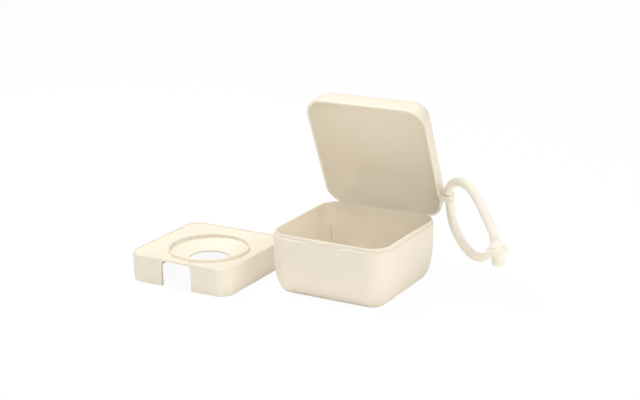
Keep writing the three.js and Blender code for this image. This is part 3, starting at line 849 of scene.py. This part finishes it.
# Marks along the strap in millimetres from the ear's bore, from the button round to the eyelet
STRAP_ROUTE = [
    (35.4, -19.9, -10.2), (32.7, -18.5, -6.4), (29.6, -16.7, -2.5), (26.4, -14.9, 1.4), (23, -13, 4.9),
    (19.7, -11.1, 7.8), (15.9, -8.9, 10), (11.5, -6.6, 11), (7.1, -4.6, 10.5), (3.3, -3, 8.3),
    (1, -1.8, 5.2), (0, -0.9, 2.1), (0, 0, 0), (0, 1.1, -2.6), (0.2, 1.3, -5.2),
    (1.2, 0.6, -9.9), (3, -1, -14.2), (5.8, -2.9, -18.4), (9.1, -4.9, -22.1), (13.3, -7.4, -25.4),
    (17.8, -10, -27.6), (22.1, -12.5, -28.5), (26.5, -14.9, -28), (30.5, -17.3, -26),
]


def button_frame(box):
    """Place and axes of the button: across the eyelet, sideways, and up its own line."""
    strap = box.strap
    out = Vector((cos(strap.heading), -sin(strap.heading), 0))
    up = out * -sin(strap.lean) + Z_AXIS * cos(strap.lean)
    side = up.cross(out).normalized()
    place = Matrix((side.cross(up), side, up)).transposed().to_4x4()
    place.translation = box.eye + out * strap.reach - Z_AXIS * strap.drop
    return place


def strap_tube(box):
    """The strap's tube, thin in the ear's bore and flat where it runs into its eyelet."""
    strap = box.strap
    across, _, up, centre = (column.xyz for column in button_frame(box).col)
    half = strap.eyelet_thickness / 2
    top = half + BUTTON_ROOM + EYELET_ROUNDING + strap.flare
    join = (strap.neck + strap.eyelet) / 4
    points = [centre + up * (top - strap.diameter / 5), centre + up * (top + strap.diameter / 5)]
    points += [box.eye + Vector(mark) * MILLIMETRE for mark in STRAP_ROUTE]
    points.append(centre - across * join)
    path = route(points, box.eye)
    low = -EAR_ROOT_REAR - EAR_ROOM
    high = EAR_FRONT + EAR_ROOM
    loops = []
    normal = (path[1] - path[0]).orthogonal().normalized()
    for index, spot in enumerate(path):
        ahead = path[min(index + 1, len(path) - 1)] - path[max(index - 1, 0)]
        ahead.normalize()
        normal = (normal - ahead * normal.dot(ahead)).normalized()
        side = ahead.cross(normal)
        radius = strap.diameter / 2
        way = (spot - box.eye).dot(box.eye_axis)
        if (spot - box.eye).length < 2 * strap.diameter:
            inside = smooth((way - low) / WAIST_BLEND) * smooth((high - way) / WAIST_BLEND)
            radius += (strap.waist - strap.diameter) / 2 * inside
        left = (path[-1] - spot).length
        flat = smooth((left - join / 2) / (2 * join)) if index > len(path) / 2 else 1
        slim = half * EYELET_FIT / radius * (1 - flat) + flat
        loop = []
        for step in range(TUBE_SIDES):
            bearing = 2 * pi * step / TUBE_SIDES
            off = (normal * cos(bearing) + side * sin(bearing)) * radius
            loop.append(spot + off - up * off.dot(up) * (1 - slim))
        loops.append(loop)
    return stacked(loops)


def strap_eyelet(box):
    """The eyelet ring that the button's neck passes through."""
    strap = box.strap
    inner = strap.neck / 2 + BUTTON_ROOM
    half = strap.eyelet_thickness / 2
    profile = ring(inner, strap.eyelet / 2, half, EYELET_ROUNDING, 2 * ROUND_STEPS)
    return spun(profile, button_frame(box))


def strap_button(box):
    """The button: a flare out of the tube, the neck through the eyelet and the round knob."""
    strap = box.strap
    half = strap.eyelet_thickness / 2
    top = -half - BUTTON_ROOM
    foot = half + BUTTON_ROOM
    end = top - strap.knob_length
    knob = strap.knob / 2
    profile = curve([(0, end)], (knob, end + knob * KNOB_END), True, CURVE_STEPS)
    profile += [(knob, top), (strap.neck / 2, top), (strap.neck / 2, foot)]
    profile += [(strap.shoulder / 2, foot), (strap.shoulder / 2, foot + EYELET_ROUNDING)]
    flare = foot + EYELET_ROUNDING + strap.flare
    curve(profile, (strap.diameter / 2, flare), True, CURVE_STEPS)
    return spun([*profile, (0, flare)], button_frame(box))


def tray_loop(box, inset, height):
    """One square outline of the tray, drawn in from its top."""
    drawn = inset + box.tray.taper * (1 - height / box.tray.height)
    return square_loop(box.tray.side / 2 - drawn, box.tray.corner - drawn, height)


def tray_shell(box):
    """The tray's skin: up the skirt, over the rim, down the plate and dish, and back below."""
    tray = box.tray
    bearings = tray_loop(box, 0, tray.height)
    top = tray.height
    soft = SKIRT_ROUNDING
    squares = curve([(soft, 0)], (0, soft), True)
    straight(squares, (0, top - soft), ROUND_STEPS)
    curve(squares, (soft, top), False)
    squares += [(tray.rim - soft / 2, top)]
    curve(squares, (tray.rim, top - soft / 2), True)
    squares += [(tray.rim, top - tray.rim_drop)]
    loops = [tray_loop(box, inset, height) for inset, height in squares]
    outer = tray.ring / 2
    inner = outer - tray.ring_thickness
    crest = top - tray.plate_drop + tray.ring_rise
    loops += bridged(loops[-1], round_loop(bearings, outer, top - tray.plate_drop), FINE_STEPS)
    lip = RING_ROUNDING
    rounds = curve([(outer, crest - lip)], (outer - lip, crest), False)
    rounds += [(inner + lip, crest)]
    curve(rounds, (inner, crest - lip), True)
    dish_top = top - tray.plate_drop - DISH_STEP
    rounds += [(inner, dish_top)]
    dish = []
    under = []
    for step in range(CURVE_STEPS + 1):
        along = step / CURVE_STEPS
        radius = inner + (tray.hole / 2 - inner) * along
        height = dish_top - (tray.hole_drop - top + dish_top) * (1 - (1 - along) ** DISH_POWER)
        dish.append((radius, height))
        under.append((radius, height - tray.plate - (tray.hole_edge - tray.plate) * along))
    rounds += dish[1:-1]
    hole, hole_top = dish[-1]
    slim = tray.hole_edge / 2
    rounds += curve([(hole + slim, rounds[-1][1])], (hole, hole_top - slim), True)[1:]
    rounds += curve([(hole, under[-1][1] + slim)], (hole + slim, under[-1][1]), False)[1:]
    rounds += reversed(under[:-1])
    loops += [round_loop(bearings, radius, height) for radius, height in rounds]
    wall_top = (tray.skirt, top - tray.rim_drop - tray.plate)
    loops += bridged(loops[-1], tray_loop(box, *wall_top), WALL_STEPS)
    wall = straight([wall_top], (tray.skirt, 0), ROUND_STEPS)
    loops += [tray_loop(box, inset, height) for inset, height in wall[1:]]
    return stacked(loops, hoop=True)


def tray_notch(box):
    """The cutter for the finger notch in the front of the skirt."""
    tray = box.tray
    half = tray.notch_width / 2
    top = tray.height - tray.notch_drop
    soft = NOTCH_CORNER
    outline = [(-half, -soft), (half, -soft), (half, top - soft)]
    curve(outline, (half - soft, top), False, 3 * ROUND_STEPS)
    outline += [(soft - half, top)]
    curve(outline, (-half, top - soft), True, 3 * ROUND_STEPS)
    start = -tray.side / 2 - tray.skirt
    depth = Vector((0, tray.skirt + tray.notch_depth, 0))
    return pushed([(x, start, z) for x, z in outline], depth)


def soften_notch(box, tray):
    """Rounds the edges that the notch has left in the skirt."""
    half = box.tray.notch_width / 2 + SLACK
    top = box.tray.height - box.tray.notch_drop + SLACK
    front = box.tray.notch_depth - box.tray.side / 2
    bm = bmesh.new()
    bm.from_mesh(tray.data)
    edges = []
    for edge in bm.edges:
        on_cut = all(abs(v.co.x) < half and v.co.y < front and v.co.z < top for v in edge.verts)
        if on_cut and edge.calc_face_angle(0) > SHARP_ANGLE:
            edges.append(edge)
    rounded(bm, edges, NOTCH_ROUNDING, segments=2)
    bm.to_mesh(tray.data)
    bm.free()


class SOOTHER_OT_tub(bpy.types.Operator):
    """Builds the tub with its lip, ribs, thumb recess, snap bead and two hinge knuckles"""
    bl_idname = "soother.tub"
    bl_label = "Build tub"

    def execute(self, context):
        box = Box(context.scene)
        parts = [tub_shell(box)]
        parts += [corner_rib(box, (corner + 0.5) * pi / 2) for corner in range(4)]
        wall = box.half - box.tub.wall / 2
        heights = (box.line.z - TUB_WEB, box.line.z)
        for middle in (-box.tub_knuckle, box.tub_knuckle):
            parts.append(knuckle(box, middle, box.hinge.tub_knuckle, wall, *heights))
        material = moulded("tub plastic", box.finish.plastic, box.finish.plastic_roughness, PLASTIC_GRAIN)
        handed_over(finished(merged(parts), "tub", material), "base", "base_tub")
        return {"FINISHED"}


class SOOTHER_OT_lid(bpy.types.Operator):
    """Builds the open lid with its ear, middle knuckle and snap groove"""
    bl_idname = "soother.lid"
    bl_label = "Build lid"

    def execute(self, context):
        box = Box(context.scene)
        wall = box.lid_half - box.lid.wall
        web = box.line.z + LID_WEB
        middle = knuckle(box, 0, box.hinge.lid_knuckle, wall, web, box.rim + box.lid.wall)
        whole = merged([lid_shell(box), lid_ear(box), middle])
        bmesh.ops.transform(whole, matrix=box.open, verts=whole.verts)
        material = moulded("lid plastic", box.finish.plastic, box.finish.plastic_roughness, PLASTIC_GRAIN)
        handed_over(finished(whole, "lid_shell", material), "lid", "lid")
        return {"FINISHED"}


class SOOTHER_OT_wire(bpy.types.Operator):
    """Builds the hinge wire"""
    bl_idname = "soother.wire"
    bl_label = "Build hinge wire"

    def execute(self, context):
        box = Box(context.scene)
        hinge = box.hinge
        half = hinge.lid_knuckle / 2 + KNUCKLE_GAP + hinge.tub_knuckle - WIRE_RECESS
        radius = hinge.pin_diameter / 2
        soft = WIRE_CHAMFER
        profile = [(0, -half), (radius - soft, -half), (radius, soft - half)]
        profile += [(radius, half - soft), (radius - soft, half), (0, half)]
        along = Matrix.Translation(box.line) @ Matrix.Rotation(pi / 2, 4, "Y")
        material = drawn_wire("steel wire", box.finish.steel, box.finish.steel_roughness)
        wire = finished(spun(profile, along), "hinge_wire", material)
        handed_over(wire, "base", "hinge_pin")
        return {"FINISHED"}


class SOOTHER_OT_strap(bpy.types.Operator):
    """Builds the silicone strap with its eyelet and button"""
    bl_idname = "soother.strap"
    bl_label = "Build strap"

    def execute(self, context):
        box = Box(context.scene)
        material = moulded("silicone", box.finish.silicone, box.finish.silicone_roughness, SILICONE_GRAIN)
        whole = merged([strap_tube(box), strap_eyelet(box), strap_button(box)])
        handed_over(finished(whole, "strap_loop", material), "strap", "strap")
        return {"FINISHED"}


class SOOTHER_OT_tray(bpy.types.Operator):
    """Builds the loose soother tray with its ring, dish, hole and finger notch"""
    bl_idname = "soother.tray"
    bl_label = "Build tray"

    def execute(self, context):
        box = Box(context.scene)
        material = moulded("tray plastic", box.finish.tray, box.finish.plastic_roughness, PLASTIC_GRAIN)
        tray = finished(tray_shell(box), "tray", material)
        cut_out(tray, tray_notch(box))
        soften_notch(box, tray)
        tray.data.shade_smooth()
        tray.data.transform(Matrix.Translation(box.tray.place))
        tray.data.set_sharp_from_angle(angle=SHARP_ANGLE)
        handed_over(tray, "tray", "soother_tray")
        return {"FINISHED"}


def lamp(name, spot, size, power, tint):
    """A soft square lamp that faces the box."""
    data = bpy.data.lights.new(name, "AREA")
    data.color = tint
    data.energy = power
    data.size = size
    light = placed(name, data)
    light.location = spot
    light.rotation_euler = (Vector(spot) - LAMP_AIM).to_track_quat("Z", "Y").to_euler()


def studio_sky(world, studio):
    """Soft light that grows towards one place, with plain white for the camera."""
    shader = Shader(world)
    shader.tree.nodes.clear()
    way = shader.read("ShaderNodeTexCoord", "Generated")
    towards = Vector(studio.sky_way).normalized()
    reach = shader.read("ShaderNodeVectorMath", "Value", {0: way, 1: towards}, operation="DOT_PRODUCT")
    gain = shader.read("ShaderNodeMath", 0, {0: reach, 1: 0}, operation="MAXIMUM")
    strength = gain * studio.high_sky + studio.low_sky
    light = shader.node("ShaderNodeBackground", {"Color": (*studio.warmth, 1), "Strength": strength})
    white = shader.node("ShaderNodeBackground", {"Color": WHITE, "Strength": 1})
    seen = shader.read("ShaderNodeLightPath", "Is Camera Ray")
    shader.blend(seen, light, white, "ShaderNodeOutputWorld")


def white_floor(studio):
    """A pale floor, nearly plain white to the camera, that keeps a faint shadow."""
    shader = Shader(bpy.data.materials.new("pale floor"))
    shader.fill(shader.surface, FLOOR_LOOK)
    white = shader.node("ShaderNodeEmission", {"Color": WHITE, "Strength": 1})
    seen = shader.read("ShaderNodeLightPath", "Is Camera Ray") * studio.whiteness
    shader.tree.nodes.remove(shader.tree.nodes["Material Output"])
    shader.blend(seen, shader.surface, white, "ShaderNodeOutputMaterial")
    return shader.owner


class SOOTHER_OT_stage(bpy.types.Operator):
    """Builds the floor, the lamps and the camera"""
    bl_idname = "soother.stage"
    bl_label = "Build stage"

    def execute(self, context):
        scene = context.scene
        studio = scene.soother_studio
        bm = bmesh.new()
        bmesh.ops.create_grid(bm, x_segments=1, y_segments=1, size=FLOOR_REACH)
        bmesh.ops.translate(bm, vec=(0, 0, -FLOOR_DROP), verts=bm.verts)
        finished(bm, "floor", white_floor(studio))
        scene.world = bpy.data.worlds.new("studio")
        studio_sky(scene.world, studio)
        for name, (spot, size) in LAMPS.items():
            lamp(name, spot, size, getattr(studio, name), studio.warmth)
        tilt = Matrix.Rotation(pi / 2 - studio.elevation, 4, "X")
        turn = Matrix.Rotation(studio.azimuth, 4, "Z") @ tilt @ Matrix.Rotation(studio.roll, 4, "Z")
        data = bpy.data.cameras.new("view")
        data.lens = studio.lens
        data.sensor_width = SENSOR
        data.clip_start = NEAREST
        scene.camera = placed("view", data)
        away = Matrix.Translation((0, 0, studio.distance))
        scene.camera.matrix_world = Matrix.Translation(studio.target) @ turn @ away
        scene.view_settings.view_transform = "Standard"
        return {"FINISHED"}


OPERATORS = [
    SOOTHER_OT_tub, SOOTHER_OT_lid, SOOTHER_OT_wire, SOOTHER_OT_strap, SOOTHER_OT_tray, SOOTHER_OT_stage,
]


class SOOTHER_PT_panel(bpy.types.Panel):
    """Lists the pieces of the soother box"""
    bl_idname = "SOOTHER_PT_panel"
    bl_label = "Soother box"
    bl_space_type = "VIEW_3D"
    bl_region_type = "UI"
    bl_category = "Soother box"

    def draw(self, context):
        for operator in OPERATORS:
            self.layout.operator(operator.bl_idname)
        for name, group in GROUPS.items():
            box = self.layout.box()
            box.label(text=name.replace("soother_", "").capitalize())
            for key in group.__annotations__:
                box.prop(getattr(context.scene, name), key)


CLASSES = [*GROUPS.values(), *OPERATORS, SOOTHER_PT_panel]


def register():
    for kind in CLASSES:
        bpy.utils.register_class(kind)
    for name, group in GROUPS.items():
        setattr(bpy.types.Scene, name, bpy.props.PointerProperty(type=group))


def unregister():
    for name in GROUPS:
        delattr(bpy.types.Scene, name)
    for kind in reversed(CLASSES):
        bpy.utils.unregister_class(kind)


def main():
    """Registers the add-on and builds every piece and the stage."""
    register()
    bpy.ops.soother.tub()
    bpy.ops.soother.lid()
    bpy.ops.soother.wire()
    bpy.ops.soother.strap()
    bpy.ops.soother.tray()
    bpy.ops.soother.stage()


if __name__ == "__main__":
    main()
